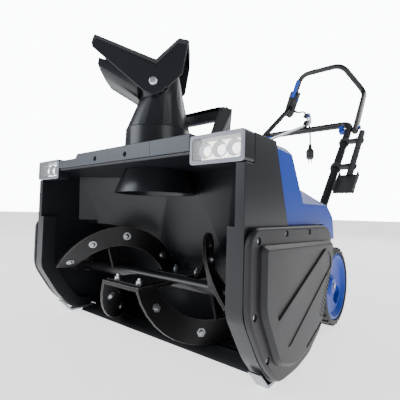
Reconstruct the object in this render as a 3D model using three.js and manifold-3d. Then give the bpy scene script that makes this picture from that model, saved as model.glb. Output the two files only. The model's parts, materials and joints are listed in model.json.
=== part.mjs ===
// Single stage electric snowblower, 22 in class. Units are millimetres, +Z is up.
// The model is laid out with X across the machine, Y running back from the mouth of the
// auger housing (y = 0) and Z measured from the ground, and is centred at the end.
import * as THREE from 'three';
import { mergeVertices } from 'three/addons/utils/BufferGeometryUtils.js';
import { ConvexGeometry } from 'three/addons/geometries/ConvexGeometry.js';
import Module from 'manifold-3d';

const wasm = await Module();
wasm.setup();

// ---------------------------------------------------------------- driving dimensions
const GAP = 0.3;                 // clearance between pieces that touch
const HALF_WIDTH = 285;          // outer face of the housing side plates
const TOP = 366;                 // top of the housing above the ground
const SHOULDER = 238;            // height where the side covers begin
const WALL = 5;                  // moulded housing wall
const MOUTH = 270;               // half width of the chamber inside the housing
const AUGER = { y: 130, z: 114, radius: 104, inner: 58 };
const DRUM = AUGER.radius + 3;   // inner radius of the auger drum
const CHUTE = { y: 112, radius: 68, turn: 39, wall: 4 };
const MOTOR = { y: 276, z: 176, radius: 45, flange: 46 };
const COVER_FACE = 306;          // outer face of the side covers
const WHEEL = { y: 447, radius: 91, inner: 225, outer: 273 };
const AXLE = 6;                  // wheel axle radius
const LEG = { x: 176, radius: 12.5, topY: 945, topZ: 610 };
const ARM = { x: 200, radius: 11 };
const FOLD = { y: 921, z: 585 };
const BEND = { x: 172, y: 1195, z: 812 };
const GRIP = { x: 92, y: 1130, z: 935 };
const LIGHT = { inner: 192, outer: 285, low: 323, high: 366, front: -4, back: 24 };
const CORD_RADIUS = 4;

const FINISH = {
  blackPlastic: { color: 0x17181c, roughness: 0.42, metalness: 0 },
  greyPlastic: { color: 0x2c2e34, roughness: 0.5, metalness: 0 },
  bluePlastic: { color: 0x1b469b, roughness: 0.38, metalness: 0 },
  blackPaint: { color: 0x121214, roughness: 0.35, metalness: 0.2 },
  rubber: { color: 0x161616, roughness: 0.85, metalness: 0 },
  zinc: { color: 0xb9bcc2, roughness: 0.32, metalness: 1 },
  steel: { color: 0x9a9ca1, roughness: 0.4, metalness: 1 },
  lens: { color: 0xe9eef2, roughness: 0.08, metalness: 0 },
  led: { color: 0xf4f2dc, roughness: 0.3, metalness: 0 },
};

const machine = new THREE.Group();
const AXIS = {
  x: new THREE.Vector3(1, 0, 0),
  y: new THREE.Vector3(0, 1, 0),
  z: new THREE.Vector3(0, 0, 1),
};

// ---------------------------------------------------------------- helpers
// Turns a closed geometry into a solid, turning it right side out where needed.
function solid(geometry) {
  const bare = geometry.index ? geometry.toNonIndexed() : geometry.clone();
  for (const name of Object.keys(bare.attributes)) {
    if (name !== 'position') bare.deleteAttribute(name);
  }
  const merged = mergeVertices(bare, 1e-3);
  const vertProperties = new Float32Array(merged.attributes.position.array);
  const triVerts = Uint32Array.from(merged.index.array);
  const made = new wasm.Manifold(new wasm.Mesh({ numProp: 3, vertProperties, triVerts }));
  if (made.volume() > 0) return made;
  for (let i = 0; i < triVerts.length; i += 3) {
    [triVerts[i], triVerts[i + 1]] = [triVerts[i + 1], triVerts[i]];
  }
  return new wasm.Manifold(new wasm.Mesh({ numProp: 3, vertProperties, triVerts }));
}

function geometryOf(body) {
  const mesh = body.getMesh();
  const geometry = new THREE.BufferGeometry();
  geometry.setAttribute('position', new THREE.BufferAttribute(mesh.vertProperties, 3));
  geometry.setIndex(new THREE.BufferAttribute(mesh.triVerts, 1));
  return geometry;
}

const join = (...bodies) => bodies.reduce((sum, body) => sum.add(body));
const cut = (body, ...tools) => tools.reduce((rest, tool) => rest.subtract(tool), body);

function addPart(name, body, finish, parent = machine) {
  const mesh = new THREE.Mesh(geometryOf(body), new THREE.MeshStandardMaterial(FINISH[finish]));
  mesh.name = name;
  parent.add(mesh);
  return mesh;
}

// An outline of [a, b] or [a, b, radius] corners; a radius rounds that corner.
function outlineShape(corners) {
  const shape = new THREE.Shape();
  corners.forEach((corner, i) => {
    const at = new THREE.Vector2(corner[0], corner[1]);
    const radius = corner[2] || 0;
    const before = corners[(i + corners.length - 1) % corners.length];
    const after = corners[(i + 1) % corners.length];
    const towards = (other) => new THREE.Vector2(other[0], other[1]).sub(at).setLength(radius).add(at);
    const enter = radius ? towards(before) : at;
    const leave = radius ? towards(after) : at;
    if (i === 0) shape.moveTo(enter.x, enter.y);
    else shape.lineTo(enter.x, enter.y);
    if (radius) shape.quadraticCurveTo(at.x, at.y, leave.x, leave.y);
  });
  shape.closePath();
  return shape;
}

function extruded(corners, depth, bevel = 0, curveSegments = 3) {
  const shape = corners instanceof THREE.Shape ? corners : outlineShape(corners);
  const geometry = new THREE.ExtrudeGeometry(shape, {
    depth: depth - 2 * bevel,
    curveSegments,
    bevelEnabled: bevel > 0,
    bevelThickness: bevel,
    bevelSize: bevel,
    bevelOffset: -bevel,
    bevelSegments: 1,
  });
  return geometry.translate(0, 0, bevel);
}

// Plates whose outline lies in [y, z], [x, z] or [x, y], between two stations on the third axis.
function plateX(corners, x0, x1, bevel = 0) {
  const basis = new THREE.Matrix4().makeBasis(AXIS.y, AXIS.z, AXIS.x);
  return solid(extruded(corners, x1 - x0, bevel).applyMatrix4(basis).translate(x0, 0, 0));
}
function plateY(corners, y0, y1, bevel = 0) {
  const basis = new THREE.Matrix4().makeBasis(AXIS.x, AXIS.z, AXIS.y.clone().negate());
  return solid(extruded(corners, y1 - y0, bevel).applyMatrix4(basis).translate(0, y1, 0));
}
function plateZ(corners, z0, z1, bevel = 0) {
  return solid(extruded(corners, z1 - z0, bevel).translate(0, 0, z0));
}

function box(x0, x1, y0, y1, z0, z1) {
  const geometry = new THREE.BoxGeometry(x1 - x0, y1 - y0, z1 - z0);
  return solid(geometry.translate((x0 + x1) / 2, (y0 + y1) / 2, (z0 + z1) / 2));
}

function hull(points) {
  return solid(new ConvexGeometry(points.map((p) => new THREE.Vector3(...p))));
}

// Every point of a list, and its mirror image across the middle of the machine.
const bothSides = (points) => points.flatMap(([x, y, z]) => [[x, y, z], [-x, y, z]]);

// A turned piece: [station, radius] pairs along an axis through the given centre.
function turned(profile, axis, centre = [0, 0, 0], segments = 24) {
  const points = profile.map(([station, radius]) => new THREE.Vector2(radius, station));
  const geometry = new THREE.LatheGeometry(points, segments);
  if (axis === 'x') geometry.rotateZ(-Math.PI / 2);
  if (axis === 'z') geometry.rotateX(Math.PI / 2);
  return solid(geometry.translate(...centre));
}
const rod = (s0, s1, radius, axis, centre, segments = 20) =>
  turned([[s0, 0], [s0, radius], [s1, radius], [s1, 0]], axis, centre, segments);
const ring = (s0, s1, inner, outer, axis, centre, segments = 24) =>
  turned([[s0, inner], [s0, outer], [s1, outer], [s1, inner], [s0, inner]], axis, centre, segments);

// A path of straight runs with rounded corners. Its steps fall only where it bends.
class BentPath extends THREE.Curve {
  constructor(points, bendRadius, bendSteps = 4) {
    super();
    const at = points.map((p) => new THREE.Vector3(...p));
    const last = at.length - 1;
    const heading = (from, to) => at[to].clone().sub(at[from]).normalize();
    this.stations = [{ point: at[0], tangent: heading(0, 1) }];
    for (let i = 1; i < last; i += 1) {
      const enter = at[i].clone().addScaledVector(heading(i - 1, i), -bendRadius);
      const leave = at[i].clone().addScaledVector(heading(i, i + 1), bendRadius);
      const bend = new THREE.QuadraticBezierCurve3(enter, at[i], leave);
      for (let k = 0; k <= bendSteps; k += 1) {
        this.stations.push({ point: bend.getPoint(k / bendSteps), tangent: bend.getTangent(k / bendSteps) });
      }
    }
    this.stations.push({ point: at[last], tangent: heading(last - 1, last) });
    this.steps = this.stations.length - 1;
  }

  getPointAt(u) {
    return this.stations[Math.round(u * this.steps)].point.clone();
  }

  getTangentAt(u) {
    return this.stations[Math.round(u * this.steps)].tangent.clone();
  }
}
const bentPath = (points, bendRadius) => new BentPath(points, bendRadius);

function tube(path, radius, sides = 16, steps = path.steps) {
  const section = new THREE.Shape().absarc(0, 0, radius, 0, 2 * Math.PI, false);
  const options = { extrudePath: path, steps, curveSegments: sides / 2, bevelEnabled: false };
  return solid(new THREE.ExtrudeGeometry(section, options));
}

// Moves a body built about the origin by a matrix.
const placed = (body, matrix) => solid(geometryOf(body).applyMatrix4(matrix));
const mirrored = (body) => body.mirror([1, 0, 0]);

// ---------------------------------------------------------------- auger housing
// The chamber narrows upwards to the chute: corners of its plan at the bottom and the ceiling.
const CEILING = 340;
function chamber(grow) {
  const low = [[MOUTH, -12, 150], [MOUTH, 100, 150], [200, 165, 150], [105, 228, 150]];
  const high = [[MOUTH, -12, CEILING], [MOUTH, 95, CEILING], [170, 150, CEILING], [35, 190, CEILING]];
  const raise = (z) => (z === CEILING ? z + grow : z);
  const grown = [...low, ...high].map(([x, y, z]) => [x + grow, y + grow, raise(z)]);
  return hull(bothSides(grown));
}

const SIDE_OUTLINE = [
  [0, TOP], [88, TOP], [135, SHOULDER], [290, SHOULDER, 10], [319, 222, 10], [322, 190, 10],
  [311, 154, 10], [246, 42, 12], [207, 20, 12], [150, 9, 10], [84, 9, 14], [43, 52, 14], [0, 120, 12],
];
const RIM_OUTLINE = [
  [0, SHOULDER], [32, SHOULDER], [32, 128, 12], [70, 66, 14], [100, 32, 12], [134, 28], [134, 9],
  [84, 9, 14], [43, 52, 14], [0, 120, 12],
];

function makeHousing() {
  const outer = plateX(SIDE_OUTLINE, -HALF_WIDTH, HALF_WIDTH);
  const drumCentre = [0, AUGER.y, AUGER.z];
  const lined = join(
    chamber(WALL),
    rod(-MOUTH - WALL, MOUTH + WALL, DRUM + WALL, 'x', drumCentre, 40),
    box(-MOUTH - WALL, MOUTH + WALL, 0, AUGER.y + WALL, 9, 235),
  );
  const hollow = join(
    chamber(0),
    rod(-MOUTH, MOUTH, DRUM, 'x', drumCentre, 40),
    box(-MOUTH, MOUTH, -12, AUGER.y, -10, 230),
  );
  const sidePlate = 6;
  const pocket = join(
    box(-HALF_WIDTH + sidePlate, HALF_WIDTH - sidePlate, 6, 400, -10, CEILING + WALL),
    box(-HALF_WIDTH + sidePlate, HALF_WIDTH - sidePlate, 20, 400, CEILING, TOP - WALL),
  );
  const rim = plateX(RIM_OUTLINE, MOUTH - 12, HALF_WIDTH - 3);
  const bearingSeat = 19;
  const beamSeat = box(-300, 300, -20, 14 + GAP, CEILING + WALL, TOP + 5);
  const lightSeat = box(LIGHT.inner - GAP, 300, -20, LIGHT.back + GAP, LIGHT.low - GAP, TOP + 5);
  const rearWalls = cut(chamber(WALL), box(-300, 300, -20, 20, 0, TOP));
  return cut(
    join(cut(join(cut(outer, cut(pocket, lined)), rearWalls), hollow), rim, mirrored(rim)),
    beamSeat,
    lightSeat,
    mirrored(lightSeat),
    rod(-300, 300, bearingSeat, 'x', drumCentre),
    rod(200, 300, 12, 'x', [0, MOTOR.y, MOTOR.z]),
    rod(CEILING - 10, CEILING + 10, 62, 'z', [0, CHUTE.y, 0]),
    rod(TOP - 10, TOP + 10, CHUTE.radius + 2, 'z', [0, CHUTE.y, 0]),
  );
}
addPart('auger_housing', makeHousing(), 'blackPlastic');

// ---------------------------------------------------------------- front beam and lights
const beamEnd = LIGHT.inner - 2 * GAP;
const BEAM_OUTLINE = [
  [-beamEnd, CEILING + WALL + GAP], [beamEnd, CEILING + WALL + GAP], [beamEnd, 371], [-118, 371], [-126, 362],
  [-beamEnd, 362],
];
const beamHoles = [-52, 40].map((x) => rod(-20, 4, 5, 'y', [x, 0, 355], 16));
addPart('front_beam', cut(plateY(BEAM_OUTLINE, -3, 14, 1.2), ...beamHoles), 'blackPlastic');

function makeLight(side, name) {
  const facing = (body) => (side > 0 ? body : mirrored(body));
  const { inner, outer, low, high, front, back } = LIGHT;
  const frame = 6;
  const shellOutline = [[inner, low, 6], [outer, low, 6], [outer, high, 4], [inner, high, 4]];
  const windowOutline = [
    [inner + frame, low + frame, 4], [outer - frame, low + frame, 4], [outer - frame, high - frame, 3],
    [inner + frame, high - frame, 3],
  ];
  const shell = cut(plateY(shellOutline, front, back, 1), plateY(windowOutline, front - 5, back - 4));
  addPart(`light_bezel_${name}`, facing(shell), 'blackPlastic');
  const inset = 0.4;
  const lensOutline = windowOutline.map(([x, z, r], i) =>
    [x + (i === 0 || i === 3 ? inset : -inset), z + (i < 2 ? inset : -inset), r]);
  addPart(`light_lens_${name}`, facing(plateY(lensOutline, front + 1, front + 5)), 'lens');
  const board = plateY(lensOutline, back - 7, back - 4 - GAP);
  const pitch = 25;
  const emitterAt = (i) => [(inner + outer) / 2 + i * pitch, back - 6.5, (low + high) / 2];
  const emitters = [-1, 0, 1].map((i) => turned([[0, 0], [0, 9], [-6, 7], [-9, 0]], 'y', emitterAt(i), 16));
  addPart(`led_board_${name}`, facing(join(board, ...emitters)), 'led');
}
makeLight(-1, 'left');
makeLight(1, 'right');

// ---------------------------------------------------------------- scraper and skids
const SCRAPER_OUTLINE = [[106, 0], [128, 0], [152, 3], [152, 8.6], [129.5, 6.8], [112, 5]];
addPart('scraper_bar', plateX(SCRAPER_OUTLINE, -257, 257), 'greyPlastic');
const SKID_OUTLINE = [[60, 32], [83, 8.5], [150, 8.5], [156, 6], [84, 3], [56, 32]];
for (const [name, x0] of [['left', -281], ['right', 261]]) {
  addPart(`skid_${name}`, plateX(SKID_OUTLINE.map(([y, z]) => [y, z - 2]), x0, x0 + 20), 'steel');
}

// ---------------------------------------------------------------- side covers
const COVER_OUTLINE = [
  [-2, 220, 10], [14, 237, 10], [290, 237, 14], [320, 221, 12], [323, 190, 12], [311, 154, 14], [246, 40, 14],
  [207, 18, 14], [150, 10, 16], [84, 12, 20], [43, 50, 20], [-2, 120, 20],
];
const PLATEAU_OUTLINE = [
  [20, 214, 10], [306, 208, 12], [309, 176, 10], [238, 54, 14], [196, 34, 14], [120, 26, 18], [66, 46, 16],
  [20, 126, 16],
];
const shrink = (outline, by, cy, cz) => outline.map(([y, z, r]) => {
  const away = new THREE.Vector2(y - cy, z - cz);
  away.setLength(Math.max(away.length() - by, 1));
  return [cy + away.x, cz + away.y, r];
});
const COVER_SCREWS = [[20, 220], [106, 227], [200, 227], [13, 123], [50, 57], [230, 44]];

function makeSideCover() {
  const base = HALF_WIDTH + GAP;
  const flange = plateX(COVER_OUTLINE, base, base + 11, 2.5);
  const plateau = plateX(PLATEAU_OUTLINE, base + 2, COVER_FACE, 6);
  const recess = plateX([[46, 186, 8], [262, 196, 6], [60, 108, 6]], COVER_FACE - 3, COVER_FACE + 5);
  const panelOutline = [[66, 96], [272, 190], [288, 178], [288, 160], [96, 62, 8]];
  const panel = plateX(panelOutline, COVER_FACE - 1.5, COVER_FACE + 5);
  const hollow = plateX(shrink(PLATEAU_OUTLINE, 8, 160, 130), base - 5, COVER_FACE - 4);
  const screwWells = COVER_SCREWS.map(([y, z]) => rod(base + 6, base + 30, 5, 'x', [0, y, z], 16));
  return cut(join(flange, plateau), recess, panel, hollow, ...screwWells);
}
const sideCover = makeSideCover();
addPart('belt_cover_right', sideCover, 'blackPlastic');
addPart('side_cover_left', mirrored(sideCover), 'blackPlastic');

// ---------------------------------------------------------------- motor cover
// The seam against the black housing leans back as it goes down.
const SEAM_FRONT = [
  [-20, TOP + 20], [81.5, TOP + 20], [88.6, TOP], [135.8, SHOULDER + GAP], [136, 150], [-20, 150],
];
function makeMotorCover() {
  const side = 281;
  const shell = 3.5;
  const body = (t) => join(
    hull(bothSides([
      [side - t, 84 - 2 * t, 358 - t], [side - 8 - t, 84 - 2 * t, TOP - t],
      [side - t, 135 - 2 * t, SHOULDER - 4 * t],
      [side - 8 - t, 150 - t, TOP - t], [side - t, 158 - t, 356 - t], [side - t, 209 - t, 277 - t],
      [side - t, 209 - t, SHOULDER - 4 * t],
    ])),
    hull(bothSides([
      [side - 2 - t, 150, 205 - 4 * t], [side - 2 - t, 396 - t, 205 - 4 * t], [side - 2 - t, 150, 276 - t],
      [side - 2 - t, 350 - t, 276 - t], [side - 4 - t, 392 - t, 254 - t], [side - 6 - t, 399 - t, 216],
      [240 - t, 190, 326 - t], [240 - t, 250, 312 - t], [232 - t, 390 - t, 262 - t],
    ])),
    hull(bothSides([
      [185 - t, 150, TOP - t], [130 - t, 200 - t, TOP - 4 - t], [130 - t, 212 - t, 300], [185 - t, 150, 300],
    ])),
    rod(296, TOP - t, 88 - t, 'z', [0, CHUTE.y, 0], 40),
    hull(bothSides([
      [60 - t, 120, TOP - t], [60 - t, 212 - t, TOP - t], [60 - t, 228 - t, 296], [60 - t, 120, 296],
    ])),
  );
  const sideCoverTop = box(HALF_WIDTH - 13, 300, 0, 324, 100, SHOULDER + GAP);
  return cut(
    body(0),
    body(shell),
    plateX(SEAM_FRONT, -300, 300),
    sideCoverTop,
    mirrored(sideCoverTop),
    rod(300, TOP + 10, CHUTE.radius + 2, 'z', [0, CHUTE.y, 0], 40),
    rod(200, 260, 9, 'y', [0, 0, 351.5], 20),
  );
}
addPart('motor_cover', makeMotorCover(), 'bluePlastic');

// ---------------------------------------------------------------- base pan
function makeBasePan() {
  const frontHalf = 276;
  const rearHalf = 150;
  const outer = join(
    plateX([[247, 62, 10], [345, 62, 8], [345, 204], [247, 204]], -frontHalf, frontHalf),
    plateX([[300, 62], [440, 62, 12], [468, 74, 12], [466, 112, 12], [404, 150, 10], [398, 204], [300, 204]],
      -rearHalf, rearHalf),
  );
  const inner = join(
    box(-frontHalf + 4, frontHalf - 4, 251, 341, 66, 230),
    box(-rearHalf + 4, rearHalf - 4, 300, 392, 66, 230),
    box(-rearHalf + 12, rearHalf - 12, 410, 500, 40, 160),
  );
  return cut(
    outer,
    inner,
    rod(-300, 300, AXLE + GAP, 'x', [0, WHEEL.y, WHEEL.radius]),
    rod(120, 300, MOTOR.radius + 6, 'x', [0, MOTOR.y, MOTOR.z], 40),
  );
}
addPart('base_pan', makeBasePan(), 'blackPlastic');

// ---------------------------------------------------------------- motor and belt drive
const PULLEY_X = 287.5;
const SHAFT_END = 299.8;
const BELT_WIDTH = 9;
const MOTOR_SHEAVE = 15;
const AUGER_SHEAVE = 62;
const motorCentre = [0, MOTOR.y, MOTOR.z];
const mountFace = HALF_WIDTH - 6.5;
const motorCan = turned([
  [126, 0], [126, 30], [132, 42], [138, MOTOR.radius], [262, MOTOR.radius], [262, MOTOR.flange],
  [mountFace, MOTOR.flange], [mountFace, 0],
], 'x', motorCentre, 36);
addPart('motor', join(motorCan, rod(250, SHAFT_END, 6, 'x', motorCentre)), 'steel');

function makePulley(radius, bore, centre, name) {
  const lip = 3;
  const profile = [
    [-1, bore], [-1, radius + lip], [0.5, radius + lip], [1, radius], [BELT_WIDTH + 1, radius],
    [BELT_WIDTH + 1.5, radius + lip], [BELT_WIDTH + 3, radius + lip], [BELT_WIDTH + 3, bore], [-1, bore],
  ];
  addPart(name, turned(profile.map(([s, r]) => [s + PULLEY_X, r]), 'x', centre, 24), 'steel');
}
makePulley(MOTOR_SHEAVE, AXLE + GAP, motorCentre, 'motor_pulley');
makePulley(AUGER_SHEAVE, 8 + GAP, [0, AUGER.y, AUGER.z], 'auger_pulley');

// The belt wraps both pulleys: the outer line round each is joined by straight runs.
function beltLoop(extra) {
  const big = AUGER_SHEAVE + extra;
  const small = MOTOR_SHEAVE + extra;
  const span = Math.hypot(MOTOR.y - AUGER.y, MOTOR.z - AUGER.z);
  const lean = Math.atan2(MOTOR.z - AUGER.z, MOTOR.y - AUGER.y);
  const wrap = Math.acos((big - small) / span);
  const shape = new THREE.Shape();
  shape.absarc(AUGER.y, AUGER.z, big, lean + wrap, lean - wrap + 2 * Math.PI, false);
  shape.absarc(MOTOR.y, MOTOR.z, small, lean - wrap, lean + wrap, false);
  shape.closePath();
  return shape;
}
const beltX = PULLEY_X + 1 + GAP;
const belt = (extra, x0, x1) => {
  const basis = new THREE.Matrix4().makeBasis(AXIS.y, AXIS.z, AXIS.x);
  return solid(extruded(beltLoop(extra), x1 - x0, 0, 12).applyMatrix4(basis).translate(x0, 0, 0));
};
const beltSolid = belt(2.6, beltX, beltX + BELT_WIDTH - 2 * GAP);
addPart('drive_belt', cut(beltSolid, belt(0.5, beltX - 5, beltX + 20)), 'rubber');

// ---------------------------------------------------------------- auger
const augerCentre = [0, AUGER.y, AUGER.z];
const SHAFT = 8;
addPart('auger_shaft', rod(-278, SHAFT_END, SHAFT, 'x', augerCentre), 'steel');
for (const [name, x0] of [['left', -284], ['right', 269]]) {
  addPart(`bearing_${name}`, ring(x0, x0 + 15, SHAFT + GAP, 18.7, 'x', augerCentre), 'steel');
}

// A point on the rotor: angle 0 looks forward, 90 degrees is straight up.
function onRotor(x, angle, radius) {
  return new THREE.Vector3(x, AUGER.y - radius * Math.cos(angle), AUGER.z + radius * Math.sin(angle));
}

// A wing is a flat strip wound half a turn, from the front at the end of the rotor, over the
// top, to the back at the middle.
const WING = { start: 240, finish: 50, from: 3, sweep: 176, slack: -0.41, thick: 6, segments: 20 };
function makeWing() {
  const blank = new THREE.BoxGeometry(1, AUGER.radius - AUGER.inner, WING.thick, WING.segments, 1, 1);
  const place = blank.attributes.position;
  const mid = (AUGER.radius + AUGER.inner) / 2;
  const station = (t, radius) => {
    const angle = WING.from + WING.sweep * (t + WING.slack * t * (1 - t));
    return onRotor(WING.start + (WING.finish - WING.start) * t, THREE.MathUtils.degToRad(angle), radius);
  };
  for (let i = 0; i < place.count; i += 1) {
    const t = place.getX(i) + 0.5;
    const centre = station(t, mid + place.getY(i));
    const along = station(t + 0.01, mid).sub(station(t - 0.01, mid));
    const outward = station(t, mid + 10).sub(station(t, mid));
    centre.add(outward.cross(along).setLength(place.getZ(i)));
    place.setXYZ(i, centre.x, centre.y, centre.z);
  }
  return solid(blank);
}
const paddleHalf = 54;
const paddle = box(-paddleHalf, paddleHalf, AUGER.y + 15, AUGER.y + AUGER.radius, AUGER.z - 4, AUGER.z + 4);
const wing = makeWing();
const blade = join(wing, mirrored(wing), paddle);
const halfTurn = new THREE.Matrix4().makeTranslation(0, AUGER.y, AUGER.z)
  .multiply(new THREE.Matrix4().makeRotationX(Math.PI))
  .multiply(new THREE.Matrix4().makeTranslation(0, -AUGER.y, -AUGER.z));
addPart('auger_blade_rear', blade, 'rubber');
addPart('auger_blade_front', placed(blade, halfTurn), 'rubber');

// The welded frame that carries the blades: a tube on the shaft, with arms out to each wing.
function makeAugerFrame() {
  const reach = AUGER.inner - 1;
  const arm = (x, angle) => {
    const flat = box(x - 3, x + 3, AUGER.y - reach, AUGER.y, AUGER.z - 11, AUGER.z + 11);
    const about = new THREE.Matrix4().makeTranslation(0, AUGER.y, AUGER.z)
      .multiply(new THREE.Matrix4().makeRotationX(-THREE.MathUtils.degToRad(angle)))
      .multiply(new THREE.Matrix4().makeTranslation(0, -AUGER.y, -AUGER.z));
    return placed(flat, about);
  };
  const arms = [[236, 6], [236, 186], [145, 72], [145, 252]].flatMap(([x, a]) => [arm(x, a), arm(-x, a)]);
  const welded = join(rod(-250, 250, 13, 'x', augerCentre), ...arms);
  return cut(welded, rod(-260, 260, SHAFT + GAP, 'x', augerCentre));
}
addPart('auger_frame', makeAugerFrame(), 'blackPaint');

// ---------------------------------------------------------------- chute
// Inside the group, -X is the way the snow leaves and the origin is on the turning axis.
const throat = turned([[292, 81], [292, 85], [339.7, 66], [339.7, 62], [292, 81]], 'z', [0, CHUTE.y, 0], 36);
addPart('chute_throat', throat, 'blackPlastic');

const chute = new THREE.Group();
chute.position.set(0, CHUTE.y, 0);
chute.rotation.z = THREE.MathUtils.degToRad(CHUTE.turn);
machine.add(chute);

function oval(front, back, half, z, count = 24) {
  const points = [];
  for (let i = 0; i < count; i += 1) {
    const a = (2 * Math.PI * i) / count;
    points.push([(front + back) / 2 + ((back - front) / 2) * Math.cos(a), half * Math.sin(a), z]);
  }
  return points;
}
const across = (points) => points.flatMap(([u, v, z]) => [[u, v, z], [u, -v, z]]);

const CHUTE_BASE = 347;
function chuteForm(t) {
  const r = CHUTE.radius - t;
  const lid = t > 0 ? 60 : 0;
  return join(
    hull([...oval(-r, r, r, CHUTE_BASE - lid), ...oval(-r, r, r, 376)]),
    hull([...oval(-r, r + 5, r + 2, 369 + t), ...oval(-r + 2, r, r - 2, 424)]),
    hull([...oval(-r + 2, r, r - 2, 423), ...oval(-40 + t, 54 - t, 50 - t, 488)]),
    hull([
      ...oval(-41 + t, 54 - t, 50.5 - t, 486),
      ...across([[-38 + t, 48 - t, 532 + lid], [44 - t, 42 - t, 532 + lid]]),
      ...across([[20, 50 - t, 532 + lid], [-20, 50 - t, 532 + lid]]),
    ]),
    hull(across([
      [-38, 36 - t, 484 + t], [-38, 48 - t, 500 + t], [-20, 50 - t, 532 + lid], [-108 - t, 20 - t, 522 + t],
      [-114 - t, 44 - t, 536 + t], [-118 - t, 48 - t, 548], [-116 - t, 48 - t, 560 + lid],
    ])),
  );
}
const PIVOT = { u: -4, z: 511 };
const pivotHole = rod(-80, 80, 4.2, 'y', [PIVOT.u, 0, PIVOT.z], 16);
addPart('chute', cut(chuteForm(0), chuteForm(CHUTE.wall), pivotHole), 'blackPlastic', chute);

const GEAR = { low: 348.5, high: 357, root: 76, tip: 80, teeth: 24 };
function makeGear() {
  const shape = new THREE.Shape();
  for (let i = 0; i < GEAR.teeth; i += 1) {
    [[0, GEAR.root], [0.3, GEAR.tip], [0.6, GEAR.tip], [0.9, GEAR.root]].forEach(([part, radius], k) => {
      const a = (2 * Math.PI * (i + part)) / GEAR.teeth;
      if (i + k === 0) shape.moveTo(radius * Math.cos(a), radius * Math.sin(a));
      else shape.lineTo(radius * Math.cos(a), radius * Math.sin(a));
    });
  }
  shape.closePath();
  return cut(plateZ(shape, GEAR.low, GEAR.high), rod(300, 400, CHUTE.radius + GAP, 'z', [0, 0, 0], 32));
}
addPart('chute_gear', makeGear(), 'greyPlastic', chute);

// ---------------------------------------------------------------- deflector
// A hood over the spout with two cheeks on the pivot, and a raised grip behind.
function deflectorForm(t) {
  const half = 57 - t;
  const drop = t > 0 ? 40 : 0;
  const cheeks = hull(across([
    [-24 + t, half, 492 - drop], [-6, half, 483 - drop], [14 - t, half, 490 - drop], [24 - t, half, 504],
    [6, half, 543 - t], [-127 - 3 * t, half, 577 - drop], [-129 - 3 * t, half, 584 - t],
    [-119 - 3 * t, half, 594 - t],
    [-132 - 3 * t, 34, 616 - t], [-137 - 3 * t, 14, 624 - t], [-4, 34, 566 - t], [-5, 14, 573 - t],
  ]));
  const grip = hull(across([
    [t, half, 512], [24 + t, half, 498 - drop], [40 + 3 * t, half, 520], [53 + 3 * t, half, 528],
    [-2 + t, half, 543], [42 + t, half - 2, 590 - t], [62 + 3 * t, half - 2, 586 - t],
    [-4 + t, 34, 566 - t], [42 + t, 30, 614 - t], [63 + 3 * t, 30, 610 - t],
  ]));
  return join(cheeks, grip);
}
const deflector = cut(
  deflectorForm(0),
  deflectorForm(4),
  pivotHole,
  plateY([[-180, 440], [-22, 488], [-128, 575], [-180, 590]], -38, 38),
);
addPart('deflector', deflector, 'blackPlastic', chute);
const BOLT_PROFILE = [
  [36, 0], [36, 7], [41, 7], [41, 3.8], [57 + GAP, 3.8], [57 + GAP, 9], [60, 8], [62, 4], [62, 0],
];
for (const [name, side] of [['near', -1], ['far', 1]]) {
  const bolt = turned(BOLT_PROFILE, 'y', [PIVOT.u, 0, PIVOT.z], 20);
  addPart(`deflector_bolt_${name}`, side > 0 ? bolt : bolt.mirror([0, 1, 0]), 'zinc', chute);
}

// ---------------------------------------------------------------- chute crank
const crankFoot = new THREE.Vector3(0, 200, 345);
const crankEye = new THREE.Vector3(0, 958, 637);
const crankLine = new THREE.Group();
crankLine.position.copy(crankFoot);
crankLine.rotation.x = Math.atan2(crankEye.z - crankFoot.z, crankEye.y - crankFoot.y);
machine.add(crankLine);
const eyeAt = crankEye.distanceTo(crankFoot);
const CRANK = { radius: 5, arm: 36, knob: 48 };
const armAt = eyeAt + 50;
const crankPath = bentPath([
  [0, 2, 0], [0, armAt, 0], [0, armAt, CRANK.arm], [0, armAt - CRANK.knob - 6, CRANK.arm],
], 9);
addPart('crank_rod', tube(crankPath, CRANK.radius, 12), 'zinc', crankLine);
addPart('crank_pinion', ring(-2, 9, CRANK.radius + GAP, 9, 'y', [0, 0, 0], 20), 'greyPlastic', crankLine);
const knobFrom = armAt - CRANK.knob - 9;
const KNOB_PROFILE = [
  [knobFrom, 0], [knobFrom, 8], [knobFrom + 6, 11], [armAt - 22, 11], [armAt - 12, 8], [armAt - 12, 0],
];
addPart('crank_knob', cut(
  turned(KNOB_PROFILE, 'y', [0, 0, CRANK.arm], 20),
  rod(knobFrom + 2.5, armAt, CRANK.radius + GAP, 'y', [0, 0, CRANK.arm]),
), 'bluePlastic', crankLine);

// ---------------------------------------------------------------- carry handle
function makeCarryHandle() {
  const arm = hull([
    [136, 98, TOP + GAP], [160, 98, TOP + GAP], [136, 146, TOP + GAP], [160, 146, TOP + GAP],
    [96, 198, 462], [118, 198, 458], [96, 224, 484], [116, 224, 484], [96, 202, 484],
  ]);
  const bar = plateX([[199, 459, 9], [226, 459, 9], [226, 486, 9], [199, 486, 9]], -106, 106);
  return join(bar, arm, mirrored(arm));
}
addPart('carry_handle', makeCarryHandle(), 'greyPlastic');

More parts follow.
